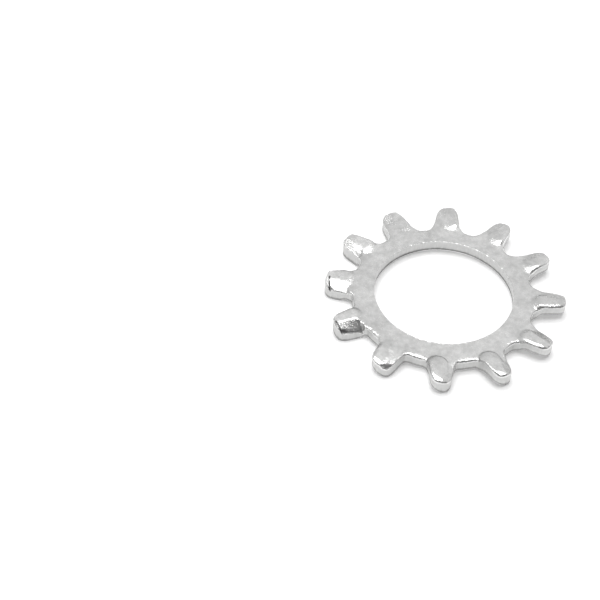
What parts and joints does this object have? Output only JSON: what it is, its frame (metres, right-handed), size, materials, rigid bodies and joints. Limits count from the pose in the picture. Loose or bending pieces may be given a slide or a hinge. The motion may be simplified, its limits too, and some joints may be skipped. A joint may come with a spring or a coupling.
{
  "type": "toothed lock washer",
  "caption": "Flat steel ring with twisted teeth around its outside that bite into a nut and the part below it, so the nut can't work loose.",
  "frame": {"origin": "on the bore's axis, in the middle plane of the flat ring", "axes": "+Z along the bore's axis, out of the punch side with the rolled edges; +X along the centre line of one tooth"},
  "size_m": [0.0182, 0.0182, 0.0014],
  "materials": {
    "steel": "satin, tumbled"
  },
  "bodies": {
    "root": {"lock_washer": "steel"}
  },
  "joints": []
}
